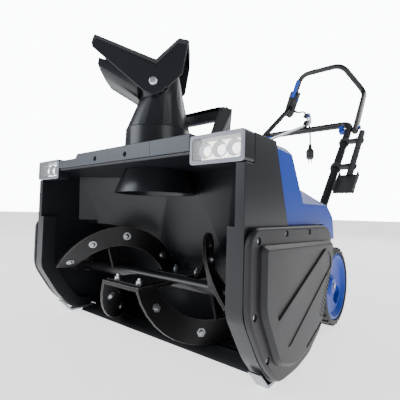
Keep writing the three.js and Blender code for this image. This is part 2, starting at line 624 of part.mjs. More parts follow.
// ---------------------------------------------------------------- wheels
function makeWheel(side, name) {
  const facing = (body) => (side > 0 ? body : mirrored(body));
  const centre = [0, WHEEL.y, WHEEL.radius];
  const { inner, outer, radius } = WHEEL;
  const tyre = turned([
    [inner, 77], [inner, 85], [inner + 4, 89], [inner + 12, radius], [outer - 12, radius], [outer - 4, 89],
    [outer, 86], [outer, 77], [inner, 77],
  ], 'x', centre, 32);
  const hubRim = 77 - GAP;
  const hub = turned([
    [inner + 4, AXLE + GAP], [inner + 4, 15], [inner + 16, 18], [inner + 20, 66], [inner + 3, 69],
    [inner + 3, hubRim], [outer - 3, hubRim], [outer - 1, 70], [outer - 10, 62], [outer - 16, 24],
    [outer - 8, 18], [outer - 8, AXLE + GAP], [inner + 4, AXLE + GAP],
  ], 'x', centre, 32);
  const openingOutline = [
    [WHEEL.y - 42, 94, 8], [WHEEL.y - 14, 128, 6], [WHEEL.y - 30, 142, 9], [WHEEL.y - 58, 112, 9],
  ];
  const opening = plateX(openingOutline, inner - 5, outer + 5);
  const aboutAxle = new THREE.Matrix4().makeTranslation(0, WHEEL.y, WHEEL.radius)
    .multiply(new THREE.Matrix4().makeRotationX(Math.PI))
    .multiply(new THREE.Matrix4().makeTranslation(0, -WHEEL.y, -WHEEL.radius));
  const openings = [opening, placed(opening, aboutAxle)];
  addPart(`wheel_tyre_${name}`, facing(tyre), 'rubber');
  addPart(`wheel_hub_${name}`, facing(cut(hub, ...openings)), 'bluePlastic');
}
makeWheel(-1, 'left');
makeWheel(1, 'right');
addPart('wheel_axle', rod(-WHEEL.outer + 6, WHEEL.outer - 6, AXLE, 'x', [0, WHEEL.y, WHEEL.radius]), 'steel');

// ---------------------------------------------------------------- handle frame
const legDirection = new THREE.Vector3(0, LEG.topY - WHEEL.y, LEG.topZ - WHEEL.radius).normalize();
const legFoot = new THREE.Vector3(0, WHEEL.y, WHEEL.radius).addScaledVector(legDirection, -18);
const legPath = bentPath([
  [-LEG.x, legFoot.y, legFoot.z], [-LEG.x, LEG.topY, LEG.topZ],
  [LEG.x, LEG.topY, LEG.topZ], [LEG.x, legFoot.y, legFoot.z],
], 34);
const pivotLine = (radius) => rod(-300, 300, radius, 'x', [0, FOLD.y, FOLD.z]);
// The bracket that holds the crank's eye stands on the middle of the cross bar.
const eyeBracket = plateX([[938, 612], [970, 648, 10], [951, 657, 8], [930, 628, 8]], -7, 7);
const eyeHole = placed(rod(-40, 40, CRANK.radius + 0.6, 'y', [0, 0, 0]),
  new THREE.Matrix4().makeTranslation(...crankEye.toArray())
    .multiply(new THREE.Matrix4().makeRotationX(crankLine.rotation.x)));
addPart('lower_frame', cut(
  tube(legPath, LEG.radius, 14),
  rod(-300, 300, AXLE + GAP, 'x', [0, WHEEL.y, WHEEL.radius]),
  pivotLine(4.4),
), 'blackPaint');
const crossBar = rod(-30, 30, LEG.radius + GAP, 'x', [0, LEG.topY, LEG.topZ]);
addPart('crank_bracket', cut(eyeBracket, crossBar, eyeHole), 'blackPlastic');

const armDirection = new THREE.Vector3(BEND.x - ARM.x, BEND.y - FOLD.y, BEND.z - FOLD.z).normalize();
const armTail = new THREE.Vector3(ARM.x, FOLD.y, FOLD.z).addScaledVector(armDirection, -26);
const armPath = bentPath([
  [-armTail.x, armTail.y, armTail.z], [-BEND.x, BEND.y, BEND.z], [-GRIP.x, GRIP.y, GRIP.z],
  [GRIP.x, GRIP.y, GRIP.z], [BEND.x, BEND.y, BEND.z], armTail.toArray(),
], 38);
addPart('upper_handle', cut(tube(armPath, ARM.radius, 14), pivotLine(4.4)), 'blackPaint');

function makeFoldKnob(side, name) {
  const stud = rod(150, 214, 4, 'x', [0, FOLD.y, FOLD.z]);
  const head = rod(ARM.x + ARM.radius + 0.6, ARM.x + ARM.radius + 6, 8, 'x', [0, FOLD.y, FOLD.z]);
  const star = new THREE.Shape();
  const lobes = 5;
  const steps = 30;
  for (let i = 0; i < steps; i += 1) {
    const a = (2 * Math.PI * i) / steps;
    const radius = 15.5 + 3 * Math.cos(lobes * a);
    const at = [FOLD.y + radius * Math.cos(a), FOLD.z + radius * Math.sin(a)];
    if (i === 0) star.moveTo(...at);
    else star.lineTo(...at);
  }
  star.closePath();
  const grip = plateX(star, 142, LEG.x - LEG.radius - 6, 2);
  const body = join(grip, stud, head);
  addPart(`fold_knob_${name}`, side > 0 ? body : mirrored(body), 'bluePlastic');
}
makeFoldKnob(-1, 'left');
makeFoldKnob(1, 'right');

// ---------------------------------------------------------------- switch box
// Local frame at the left bend: x points inwards, z runs up the tube.
const boxUp = new THREE.Vector3(BEND.x - GRIP.x, GRIP.y - BEND.y, GRIP.z - BEND.z).normalize();
const boxIn = AXIS.x.clone().addScaledVector(boxUp, -boxUp.x).normalize();
const boxBack = boxUp.clone().cross(boxIn);
const boxFrame = new THREE.Matrix4().makeBasis(boxIn, boxBack, boxUp).setPosition(-BEND.x, BEND.y, BEND.z);
const tubeChannel = tube(armPath, ARM.radius + 0.7, 14);
const BOX = { half: 21, low: -52, high: 78, front: -25, back: 21 };
const boxSide = [
  [BOX.front + 6, BOX.low, 8], [BOX.back, BOX.low + 10, 8],
  [BOX.back, BOX.high, 10], [BOX.front, BOX.high, 10],
];
const switchHalf = (x0, x1) => plateX(boxSide, x0, x1, 3);
const buttonWell = box(12, 30, -14, 2, 38, 58);
const rockerWell = box(12, 30, -13, 1, 8, 26);
const leverWell = box(-9, 9, -40, -12, 50, 100);
const glandAt = { y: -8, z: -12 };
const glandWell = rod(14, 30, 6.3, 'x', [0, glandAt.y, glandAt.z]);
const innerHalf = cut(switchHalf(GAP, BOX.half), buttonWell, rockerWell, leverWell, glandWell);
const outerHalf = cut(switchHalf(-BOX.half, 0), leverWell);
addPart('switch_box_inner', cut(placed(innerHalf, boxFrame), tubeChannel), 'blackPlastic');
addPart('switch_box_outer', cut(placed(outerHalf, boxFrame), tubeChannel), 'blackPlastic');
addPart('safety_button', placed(box(15.5, 25, -13.5, 1.5, 38.5, 57.5), boxFrame), 'bluePlastic');
addPart('light_switch', placed(box(14, 24, -12.4, 0.4, 8.8, 25.2), boxFrame), 'greyPlastic');
const leverOutline = [[-37, 56, 4], [-31, 140, 4], [-22, 140, 3], [-17, 56, 4]];
addPart('trigger_lever', placed(plateX(leverOutline, -8, 8, 1.5), boxFrame), 'bluePlastic');

// ---------------------------------------------------------------- supply cord
const GLAND_PROFILE = [[14.5, 4.7], [14.5, 6], [24, 6], [40, 5.6], [40, 4.7], [14.5, 4.7]];
const gland = turned(GLAND_PROFILE, 'x', [0, glandAt.y, glandAt.z], 16);
addPart('cord_gland', placed(gland, boxFrame), 'rubber');
const cordStart = new THREE.Vector3(15, glandAt.y, glandAt.z).applyMatrix4(boxFrame);
const cordMiddle = new THREE.Vector3(31, glandAt.y, glandAt.z).applyMatrix4(boxFrame);
const cordLeave = new THREE.Vector3(46, glandAt.y, glandAt.z).applyMatrix4(boxFrame);
const CORD_ROUTE = [
  [-105, 1196, 774], [-94, 1197, 755], [-85, 1198, 733], [-79, 1198, 709], [-75, 1198, 684], [-73, 1198, 659],
  [-72, 1198, 634], [-72, 1198, 608],
];
const cordPath = new THREE.CatmullRomCurve3([
  cordStart, cordMiddle, cordLeave, ...CORD_ROUTE.map((p) => new THREE.Vector3(...p)),
]);
addPart('cord', tube(cordPath, CORD_RADIUS, 8, 24), 'rubber');
const plugTop = CORD_ROUTE[CORD_ROUTE.length - 1];
const plugProfile = [
  [-74, 0], [-74, 13], [-66, 19], [-34, 19], [-22, 10], [-2, 7], [-GAP, 7], [-GAP, 0],
];
addPart('plug', turned(plugProfile, 'z', plugTop, 24), 'rubber');
const plugFace = -74 - GAP;
const blades = join(box(-12, 12, -4, 4, plugFace - 3, plugFace), box(-9, -6, -3, 3, -94, plugFace - 1),
  box(6, 9, -3, 3, -94, plugFace - 1));
addPart('plug_blades', blades.translate(plugTop), 'zinc');

// ---------------------------------------------------------------- clean-out tool and its clips
const toolLine = new THREE.Group();
toolLine.position.set(0, WHEEL.y, WHEEL.radius);
toolLine.rotation.x = Math.atan2(legDirection.z, legDirection.y);
machine.add(toolLine);
const TOOL = { x: 228, low: 400, high: 648, radius: 10, lift: 4 };
function makeTool() {
  const shaft = rod(TOOL.low, TOOL.high, TOOL.radius, 'y', [TOOL.x, 0, TOOL.lift], 20);
  const blade = hull([
    [TOOL.x - 30, TOOL.low - 86, 16], [TOOL.x + 30, TOOL.low - 86, 16], [TOOL.x - 30, TOOL.low - 86, 10],
    [TOOL.x + 30, TOOL.low - 86, 10], [TOOL.x - 26, TOOL.low + 10, 4], [TOOL.x + 26, TOOL.low + 10, 4],
    [TOOL.x - 26, TOOL.low + 10, -2], [TOOL.x + 26, TOOL.low + 10, -2],
  ]);
  const wall = (x) => hull([
    [x - 2, TOOL.low - 84, 26], [x + 2, TOOL.low - 84, 26],
    [x - 2, TOOL.low - 84, 11], [x + 2, TOOL.low - 84, 11],
    [x - 2, TOOL.low + 8, 18], [x + 2, TOOL.low + 8, 18], [x - 2, TOOL.low + 8, 0], [x + 2, TOOL.low + 8, 0],
  ]);
  return join(shaft, blade, wall(TOOL.x - 27), wall(TOOL.x + 27));
}
addPart('clean_out_tool', makeTool(), 'blackPlastic', toolLine);
for (const [name, at] of [['lower', 446], ['upper', 590]]) {
  const grip = join(
    ring(at, at + 16, LEG.radius + GAP, LEG.radius + 5, 'y', [LEG.x, 0, 0], 24),
    box(LEG.x + LEG.radius + 2, TOOL.x - TOOL.radius - 2, at, at + 16, -5, 9),
    cut(rod(at, at + 16, TOOL.radius + 4, 'y', [TOOL.x, 0, TOOL.lift]),
      box(TOOL.x - 9, TOOL.x + 30, at - 1, at + 17, TOOL.lift, TOOL.lift + 30)),
  );
  const clip = cut(grip, rod(at - 1, at + 17, TOOL.radius + GAP, 'y', [TOOL.x, 0, TOOL.lift]),
    rod(at - 1, at + 17, LEG.radius + GAP, 'y', [LEG.x, 0, 0]));
  addPart(`tool_clip_${name}`, clip, 'blackPlastic', toolLine);
}

// ---------------------------------------------------------------- centre the machine on its footprint
machine.updateMatrixWorld(true);
const bounds = new THREE.Box3();
const CORD_PIECES = ['cord', 'plug', 'plug_blades', 'cord_gland'];
machine.traverse((piece) => {
  if (piece.isMesh && !CORD_PIECES.includes(piece.name)) bounds.expandByObject(piece, true);
});
const middle = bounds.getCenter(new THREE.Vector3());
machine.position.set(-middle.x, -middle.y, -bounds.min.z);

export default machine;
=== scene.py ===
# %% [markdown]
# # A single-stage snowblower, dressed in Blender
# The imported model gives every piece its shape, size and place. This lesson starts from that
# frame, rounds the moulded edges, rebuilds the pieces that are turned or bent from tube,
# adds the small hardware, and gives each piece its finish.

# %% Load the frame
import json
import math
import bpy
from mathutils import Matrix, Vector


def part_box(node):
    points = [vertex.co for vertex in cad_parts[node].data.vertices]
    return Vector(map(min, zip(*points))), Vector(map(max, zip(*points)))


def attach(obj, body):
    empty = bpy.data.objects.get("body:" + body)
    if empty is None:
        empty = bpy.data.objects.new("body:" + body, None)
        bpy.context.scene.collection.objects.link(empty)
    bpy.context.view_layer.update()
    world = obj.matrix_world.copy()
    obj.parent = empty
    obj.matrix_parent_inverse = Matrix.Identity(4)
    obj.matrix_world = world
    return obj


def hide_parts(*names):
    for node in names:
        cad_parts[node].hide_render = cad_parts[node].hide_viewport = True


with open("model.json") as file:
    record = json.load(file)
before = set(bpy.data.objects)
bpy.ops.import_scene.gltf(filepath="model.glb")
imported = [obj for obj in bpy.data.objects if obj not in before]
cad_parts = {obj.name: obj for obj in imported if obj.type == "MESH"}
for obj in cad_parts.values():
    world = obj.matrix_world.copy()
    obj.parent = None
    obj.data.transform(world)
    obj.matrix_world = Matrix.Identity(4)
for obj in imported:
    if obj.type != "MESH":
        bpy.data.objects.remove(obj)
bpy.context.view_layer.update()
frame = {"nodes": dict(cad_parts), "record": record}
record = frame["record"]
BODY_OF = {node: body for body, nodes in record["behaviour"]["bodies"].items() for node in nodes}
SLOT_OF = {part["node"]: part["material_slot"] for part in record["subparts"]}

# %% [markdown]
# The machine was laid out in millimetres with the mouth of the auger housing at y = 0, and
# then centred on its footprint. The wheel axle tells how far it moved, so every position
# below can be given in the layout's own round numbers.

# %% Layout positions
AXLE_Y, AXLE_Z = 447, 91
axle_low, axle_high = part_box("wheel_axle")
SHIFT = (axle_low.y + axle_high.y) / 2 - AXLE_Y / 1000


def at(x, y, z):
    """A layout position in millimetres, as a point of the frame in metres."""
    return Vector((x / 1000, y / 1000 + SHIFT, z / 1000))


print("layout shift", round(SHIFT, 4), "m")

# %% [markdown]
# The camera stands low in front of the right-hand corner of the mouth and looks up a
# little, rolled by a degree and a half. It is made first, because the cord is judged by it.

# %% Camera
AZIMUTH, PITCH, ROLL = math.radians(39.01), math.radians(2.41), math.radians(1.52)
EYE, LENS = at(499, -355.1, 253.7), 28.92
ahead = Vector((-math.sin(AZIMUTH) * math.cos(PITCH), math.cos(AZIMUTH) * math.cos(PITCH), math.sin(PITCH)))
level = Vector((math.cos(AZIMUTH), math.sin(AZIMUTH), 0))
above = level.cross(ahead)
right = level * math.cos(ROLL) + above * math.sin(ROLL)
upward = above * math.cos(ROLL) - level * math.sin(ROLL)
bpy.ops.object.camera_add()
camera = bpy.context.object
camera_turn = Matrix((right, upward, -ahead)).transposed().to_4x4()
camera.matrix_world = Matrix.Translation(EYE) @ camera_turn
camera.data.lens = LENS
bpy.context.scene.camera = camera
print("camera at", [round(c, 3) for c in camera.location])

# %% [markdown]
# Every shape below is made by the same few moves: pick one object, work on it in edit mode,
# finish it with modifiers. Small helpers keep those moves short.

# %% Helpers for picking and finishing
def pick(piece):
    """Makes one object the only one selected."""
    if bpy.context.object and bpy.context.object.mode != "OBJECT":
        bpy.ops.object.mode_set(mode="OBJECT")
    bpy.ops.object.select_all(action="DESELECT")
    piece.select_set(True)
    bpy.context.view_layer.objects.active = piece
    return piece


def edit(piece):
    """Opens one object in edit mode with everything selected."""
    pick(piece)
    bpy.ops.object.mode_set(mode="EDIT")
    bpy.ops.mesh.select_all(action="SELECT")


def leave():
    """Closes edit mode."""
    bpy.ops.object.mode_set(mode="OBJECT")


def settle(piece):
    """Puts the piece's place into its mesh, so that its object sits at the origin."""
    pick(piece)
    bpy.ops.object.transform_apply(location=True, rotation=True, scale=True)


def smooth(piece, degrees=34):
    """Shades a piece smooth, with a crease at every edge sharper than the angle."""
    pick(piece)
    bpy.ops.object.shade_smooth_by_angle(angle=math.radians(degrees))


def modify(piece, kind, **settings):
    """Adds one modifier, sets it and applies it."""
    pick(piece)
    bpy.ops.object.modifier_add(type=kind)
    modifier = piece.modifiers[-1]
    for key, value in settings.items():
        setattr(modifier, key, value)
    bpy.ops.object.modifier_apply(modifier=modifier.name)


def round_edges(piece, width, segments=2, degrees=36):
    """Rounds every edge sharper than the angle, as a mould or a press leaves it."""
    modify(piece, "BEVEL", width=width, segments=segments, limit_method="ANGLE",
           angle_limit=math.radians(degrees), use_clamp_overlap=False)
    smooth(piece)
    modify(piece, "WEIGHTED_NORMAL", keep_sharp=True, weight=100)


def mount(piece, name, body, slot, *nodes):
    """Names a finished piece, rides it on its body and hides the CAD nodes it stands for."""
    piece.name = name
    piece.data.name = name
    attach(piece, body)
    if nodes:
        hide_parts(*nodes)
    return piece


def joined(pieces):
    """Joins a list of objects into the first of them."""
    pick(pieces[0])
    for piece in pieces:
        piece.select_set(True)
    bpy.ops.object.join()
    return pieces[0]


print("helpers ready")

# %% [markdown]
# A turned piece starts as one point. The point is extruded from corner to corner of its
# half outline, and the outline is spun round its axis: the way a lathe would see it.

# %% Helpers for turned pieces, blocks and tubes
AXES = {"x": Vector((1, 0, 0)), "y": Vector((0, 1, 0)), "z": Vector((0, 0, 1))}
SIDEWAYS = {"x": Vector((0, 0, 1)), "y": Vector((0, 0, 1)), "z": Vector((1, 0, 0))}


def turned(profile, centre, axis="x", steps=32):
    """Spins [station, radius] corners, in millimetres, round an axis through the centre."""
    along, out = AXES[axis], SIDEWAYS[axis]
    corners = [centre + (along * station + out * radius) / 1000 for station, radius in profile]
    bpy.ops.mesh.primitive_plane_add(size=0.01, location=corners[0])
    piece = bpy.context.object
    edit(piece)
    bpy.ops.mesh.merge(type="CENTER")
    for before, after in zip(corners, corners[1:]):
        bpy.ops.mesh.extrude_vertices_move(TRANSFORM_OT_translate={"value": after - before})
    bpy.ops.mesh.select_all(action="SELECT")
    bpy.ops.mesh.spin(steps=steps, angle=2 * math.pi, center=centre, axis=along)
    bpy.ops.mesh.select_all(action="SELECT")
    bpy.ops.mesh.remove_doubles(threshold=1e-5)
    bpy.ops.mesh.normals_make_consistent(inside=False)
    leave()
    settle(piece)
    smooth(piece)
    return piece


def block(low, high, bevel=0.0):
    """A block between two layout corners, with its edges rounded."""
    a, b = at(*low), at(*high)
    bpy.ops.mesh.primitive_cube_add(size=1, location=(a + b) / 2, scale=b - a)
    piece = bpy.context.object
    settle(piece)
    if bevel:
        round_edges(piece, bevel / 1000, 3)
    return piece


def bent(points, bend, steps=10):
    """Straight runs between the points, with each inner corner rounded by a smooth bend."""
    corners = [at(*p) for p in points]
    path = [corners[0]]
    for before, corner, after in zip(corners, corners[1:], corners[2:]):
        enter = corner + (before - corner).normalized() * bend / 1000
        leave_at = corner + (after - corner).normalized() * bend / 1000
        for k in range(steps + 1):
            t = k / steps
            path.append(enter * (1 - t) ** 2 + corner * 2 * t * (1 - t) + leave_at * t * t)
    return path + [corners[-1]]


def tube(path, radius, sides=6):
    """A round bar or tube along a path, made as a bevelled curve and turned into a mesh."""
    bpy.ops.curve.primitive_nurbs_path_add()
    piece = bpy.context.object
    curve = piece.data
    curve.splines.clear()
    spline = curve.splines.new("POLY")
    spline.points.add(len(path) - 1)
    for point, place in zip(spline.points, path):
        point.co = (*place, 1)
    curve.dimensions = "3D"
    curve.bevel_depth = radius / 1000
    curve.bevel_resolution = sides
    curve.use_fill_caps = True
    pick(piece)
    bpy.ops.object.convert(target="MESH")
    piece = bpy.context.object
    smooth(piece, 50)
    return piece


print("turned, block and tube ready")

# %% [markdown]
# ## The supply cord
# A short lead leaves the switch box through a rubber strain relief, swings out straight
# for a few diameters and hangs down to its plug. It is a free cord, 238 mm from inside the
# relief to the plug, and follows the very route the frame gives it.

# %% The cord's route
BEND = Vector((-172, 1195, 812))
GRIP = Vector((-92, 1130, 935))
box_up = (GRIP - BEND).normalized()
box_in = (AXES["x"] - box_up * box_up.x).normalized()
box_back = box_up.cross(box_in)


def on_box(x, y, z):
    """A place measured from the left bend of the handle: inwards, back and up the tube."""
    return at(*(BEND + box_in * x + box_back * y + box_up * z))


relief_y, relief_z = -8, -12
hanging = [(-105, 1196, 774), (-94, 1197, 755), (-85, 1198, 733), (-79, 1198, 709), (-75, 1198, 684),
           (-73, 1198, 659), (-72, 1198, 634), (-72, 1198, 608)]
knots = [on_box(x, relief_y, relief_z) for x in (15, 31, 46)] + [at(*p) for p in hanging]


def through(points, per_span=3):
    """A smooth curve through every point."""
    ends = [points[0] * 2 - points[1]] + points + [points[-1] * 2 - points[-2]]
    path = []
    for a, b, c, d in zip(ends, ends[1:], ends[2:], ends[3:]):
        for k in range(per_span):
            t = k / per_span
            path.append((b * 2 + (c - a) * t + (a * 2 - b * 5 + c * 4 - d) * t ** 2
                         + (b * 3 - a - c * 3 + d) * t ** 3) / 2)
    return path + [points[-1]]


cord_path = through(knots)
cord = tube(cord_path, 4, 4)
mount(cord, "supply_cord", "handle", "rubber", "cord")
cord_length = sum((b - a).length for a, b in zip(cord_path, cord_path[1:]))
print("cord", round(cord_length * 1000), "mm on", len(cord_path), "points")

# %% [markdown]
# The relief is a ribbed rubber cone: it keeps the lead from being bent sharply at the box.
# The plug is a moulded pear with finger ribs and two blades on its face.

# %% Strain relief and plug
box_turn = Matrix((box_in, box_back, box_up)).transposed().to_4x4()


def onto_box(piece, x, y, z):
    """Moves a piece made about the origin, with X along its axis, onto the switch box."""
    piece.data.transform(Matrix.Translation(on_box(x, y, z)) @ box_turn)
    return piece


relief_profile = [[14.5, 4.3], [14.5, 6], [24, 6]]
for rib in range(5):
    station = 24.5 + rib * 3
    relief_profile += [[station, 6 - rib * 0.1], [station + 1.6, 6 - rib * 0.1],
                       [station + 1.8, 5.3 - rib * 0.1], [station + 2.6, 5.3 - rib * 0.1]]
relief_profile += [[40, 5.3], [40, 4.3], [14.5, 4.3]]
relief = onto_box(turned(relief_profile, Vector(), "x", 28), 0, relief_y, relief_z)
mount(relief, "strain_relief", "handle", "rubber", "cord_gland")

plug_top = at(*hanging[-1])
plug_profile = [[-74, 0], [-74, 12], [-72.5, 14], [-66, 19], [-60, 18.4], [-58, 19], [-52, 18.4], [-50, 19],
                [-44, 18.4], [-42, 19], [-36, 19], [-28, 15], [-21, 9.6], [-12, 8], [-2, 7], [-0.3, 6.4],
                [-0.3, 0]]
plug = turned(plug_profile, plug_top, "z", 36)
mount(plug, "lead_plug", "handle", "rubber", "plug")
print("relief and plug made")

# %% [markdown]
# ## Finishes
# The machine is nearly all black plastic, so its finishes differ in small things: how fine the moulded grain
# is, how pale the edges are, partly from being worn and partly from a painted highlight, and how much dust
# lies on top.
# Each of those is one shader group, built once and set differently in every material, and a
# fourth draws the fine lines that rolling or brushing leaves on steel.

# %% Shader groups
def shader_group(name, inputs, outputs):
    """An empty group with its sockets, its input and output nodes, and a way to add nodes."""
    group = bpy.data.node_groups.new(name, "ShaderNodeTree")
    for label, value in inputs.items():
        group.interface.new_socket(label, in_out="INPUT", socket_type="NodeSocketFloat").default_value = value
    for label in outputs:
        group.interface.new_socket(label, in_out="OUTPUT", socket_type="NodeSocketFloat")
    return group, group.nodes.new("NodeGroupInput"), group.nodes.new("NodeGroupOutput")


def calculate(tree, operation, a, b, clamp=False):
    """A Math node; each side is a number or another node's output."""
    node = tree.nodes.new("ShaderNodeMath")
    node.operation = operation
    node.use_clamp = clamp
    for socket, value in zip(node.inputs, (a, b)):
        if isinstance(value, (int, float)):
            socket.default_value = value
        else:
            tree.links.new(value, socket)
    return node.outputs[0]


def noise(tree, scale, detail=2.0, stretch=(1, 1, 1)):
    """Noise on Object coordinates, stretched along any axis."""
    place = tree.nodes.new("ShaderNodeTexCoord")
    turn = tree.nodes.new("ShaderNodeMapping")
    turn.inputs["Scale"].default_value = stretch
    cloud = tree.nodes.new("ShaderNodeTexNoise")
    cloud.inputs["Detail"].default_value = detail
    tree.links.new(place.outputs["Object"], turn.inputs["Vector"])
    tree.links.new(turn.outputs["Vector"], cloud.inputs["Vector"])
    if isinstance(scale, (int, float)):
        cloud.inputs["Scale"].default_value = scale
    else:
        tree.links.new(scale, cloud.inputs["Scale"])
    return cloud.outputs["Fac"]


# The edge mask paints a pale colour along every edge: partly worn edges, partly a painted highlight where
# edges catch the light.
edge_group, given, result = shader_group("worn_and_highlit_edges", {"Radius": 0.001, "Strength": 4.0}, ["Mask"])
rounded = edge_group.nodes.new("ShaderNodeBevel")
rounded.samples = 4
edge_group.links.new(given.outputs["Radius"], rounded.inputs["Radius"])
surface = edge_group.nodes.new("ShaderNodeNewGeometry")
facing = edge_group.nodes.new("ShaderNodeVectorMath")
facing.operation = "DOT_PRODUCT"
edge_group.links.new(rounded.outputs["Normal"], facing.inputs[0])
edge_group.links.new(surface.outputs["Normal"], facing.inputs[1])
turned_away = calculate(edge_group, "SUBTRACT", 1.0, facing.outputs["Value"])
broken = calculate(edge_group, "ADD", noise(edge_group, 55, 4), 0.15)
worn_and_highlit = calculate(edge_group, "MULTIPLY", turned_away, given.outputs["Strength"])
mask = calculate(edge_group, "MULTIPLY", worn_and_highlit, broken, True)
edge_group.links.new(mask, result.inputs["Mask"])

grain_group, given, result = shader_group("moulded_grain", {"Scale": 900.0}, ["Height", "Tone"])
grain_group.links.new(noise(grain_group, given.outputs["Scale"], 2.5), result.inputs["Height"])
grain_group.links.new(noise(grain_group, 7, 4), result.inputs["Tone"])

dust_group, given, result = shader_group("settled_dust", {"Amount": 0.3}, ["Mask"])
surface = dust_group.nodes.new("ShaderNodeNewGeometry")
split = dust_group.nodes.new("ShaderNodeSeparateXYZ")
dust_group.links.new(surface.outputs["Normal"], split.inputs[0])
lying = calculate(dust_group, "SUBTRACT", split.outputs["Z"], 0.35, True)
speckle = calculate(dust_group, "MULTIPLY", noise(dust_group, 38, 8), noise(dust_group, 5, 2))
settled = calculate(dust_group, "MULTIPLY", lying, speckle)
mask = calculate(dust_group, "MULTIPLY", settled, given.outputs["Amount"], True)
dust_group.links.new(mask, result.inputs["Mask"])

scratch_group, given, result = shader_group("drawn_lines", {"Scale": 40.0}, ["Mask"])
scratch_group.links.new(noise(scratch_group, given.outputs["Scale"], 3, (0.4, 14, 14)), result.inputs["Mask"])
print("shader groups:", [g.name for g in bpy.data.node_groups])

# %% [markdown]
# One recipe makes every opaque finish. The tone of the material wanders a little, dust lightens what faces
# up, the edges show a paler colour that is partly worn and partly a painted highlight, and the grain feeds
# the bump.
# Numbers that are the same all over go on the shader's own sockets.

# %% The recipe for a finish
DUST_COLOUR = (0.42, 0.41, 0.4)
ROUGHNESS_WANDER, DRAWN_ROUGHNESS = 0.14, 0.16
BUMP_HEIGHT = 0.0004


def finish(name, colour, rough, metallic=0.0, grain=900.0, bump=0.12, pale=None, wear_and_highlight=0.0, radius=0.0012,
           dust=0.25, drawn=0.0, vary=0.1, coat=0.0, shine=0.5):
    """An opaque material: base colour and roughness first, then how the surface is marked."""
    material = bpy.data.materials.new(name)
    material.use_nodes = True
    tree = material.node_tree
    shader = tree.nodes["Principled BSDF"]

    def group(source, **values):
        node = tree.nodes.new("ShaderNodeGroup")
        node.node_tree = source
        for label, value in values.items():
            node.inputs[label].default_value = value
        return node.outputs

    def blend(under, over, factor):
        node = tree.nodes.new("ShaderNodeMix")
        node.data_type = "RGBA"
        tree.links.new(factor, node.inputs["Factor"])
        for socket, value in ((node.inputs["A"], under), (node.inputs["B"], over)):
            if isinstance(value, tuple):
                socket.default_value = (*value, 1)
            else:
                tree.links.new(value, socket)
        return node.outputs["Result"]

    skin = group(grain_group, Scale=grain)
    tone = blend(tuple(c * (1 - vary) for c in colour), tuple(c * (1 + vary) for c in colour), skin["Tone"])
    # Pale edges, partly worn and partly a painted highlight.
    if wear_and_highlight:
        tone = blend(tone, pale or tuple(min(c * 4 + 0.05, 1) for c in colour),
                     group(edge_group, Radius=radius, Strength=wear_and_highlight)["Mask"])
    if dust:
        tone = blend(tone, DUST_COLOUR, group(dust_group, Amount=dust)["Mask"])
    tree.links.new(tone, shader.inputs["Base Color"])
    dull = calculate(tree, "MULTIPLY_ADD", skin["Tone"], ROUGHNESS_WANDER)
    dull.node.inputs[2].default_value = rough - ROUGHNESS_WANDER / 2
    if drawn:
        lines = group(scratch_group, Scale=drawn)["Mask"]
        dull = calculate(tree, "ADD", dull, calculate(tree, "MULTIPLY", lines, DRAWN_ROUGHNESS))
    tree.links.new(dull, shader.inputs["Roughness"])
    relief = tree.nodes.new("ShaderNodeBump")
    relief.inputs["Strength"].default_value = bump
    relief.inputs["Distance"].default_value = BUMP_HEIGHT
    tree.links.new(skin["Height"], relief.inputs["Height"])
    tree.links.new(relief.outputs["Normal"], shader.inputs["Normal"])
    shader.inputs["Metallic"].default_value = metallic
    shader.inputs["Specular IOR Level"].default_value = shine
    shader.inputs["Coat Weight"].default_value = coat
    shader.inputs["Coat Roughness"].default_value = 0.2
    return material


print("finish recipe ready")

# %% [markdown]
# The housing is satin black with a cool sheen; the covers are a coarser charcoal. The blue
# is one royal blue throughout. Steel parts are zinc plated, powder coated or left bare.

# %% The finishes
housing_black = finish("housing_black", (0.0095, 0.0105, 0.0145), 0.36, bump=0.06, wear_and_highlight=1.0, dust=0.04,
                       shine=0.4)
cover_charcoal = finish("cover_charcoal", (0.015, 0.015, 0.0165), 0.46, grain=1400, bump=0.16, wear_and_highlight=0.8,
                        dust=0.05, shine=0.3)
# The beam's blue-grey, lighter than the housing black, is painted light: it stands for the light its front
# face catches.
beam_painted_light_grey = finish("beam_painted_light_grey", (0.04, 0.045, 0.06), 0.4, bump=0.08, wear_and_highlight=1.0, dust=0.1)
chute_black = finish("chute_black", (0.009, 0.010, 0.014), 0.3, bump=0.05, wear_and_highlight=1.0, dust=0.12)
handle_grey = finish("carry_handle_grey", (0.028, 0.029, 0.033), 0.5, grain=1100, bump=0.2, wear_and_highlight=1.2,
                     dust=0.2)
royal_blue = finish("royal_blue", (0.008, 0.048, 0.36), 0.42, bump=0.05, wear_and_highlight=0.6, pale=(0.05, 0.16, 0.55),
                    dust=0.03, vary=0.05, shine=0.3)
powder_black = finish("powder_coated_black", (0.008, 0.008, 0.009), 0.3, grain=1800, bump=0.15, wear_and_highlight=0.6,
                      dust=0.05)
blade_rubber = finish("blade_rubber", (0.007, 0.007, 0.008), 0.42, grain=500, bump=0.2, wear_and_highlight=7,
                      pale=(0.2, 0.165, 0.14), radius=0.0018, dust=0.04, shine=0.3)
soft_rubber = finish("soft_rubber", (0.014, 0.014, 0.015), 0.5, grain=700, bump=0.15, wear_and_highlight=1.0, dust=0.1)
tyre_rubber = finish("tyre_rubber", (0.013, 0.013, 0.013), 0.62, grain=420, bump=0.3, wear_and_highlight=1.6, dust=0.3)
bright_zinc = finish("bright_zinc", (0.66, 0.68, 0.71), 0.26, metallic=1.0, grain=300, bump=0.05,
                     dust=0, drawn=60)
bare_steel = finish("bare_steel", (0.43, 0.44, 0.46), 0.36, metallic=1.0, grain=260, bump=0.08,
                    dust=0.1, drawn=30)
skid_steel = finish("scuffed_skid_steel", (0.36, 0.38, 0.41), 0.4, metallic=0.9, grain=200, bump=0.2,
                    dust=0.1, drawn=14)
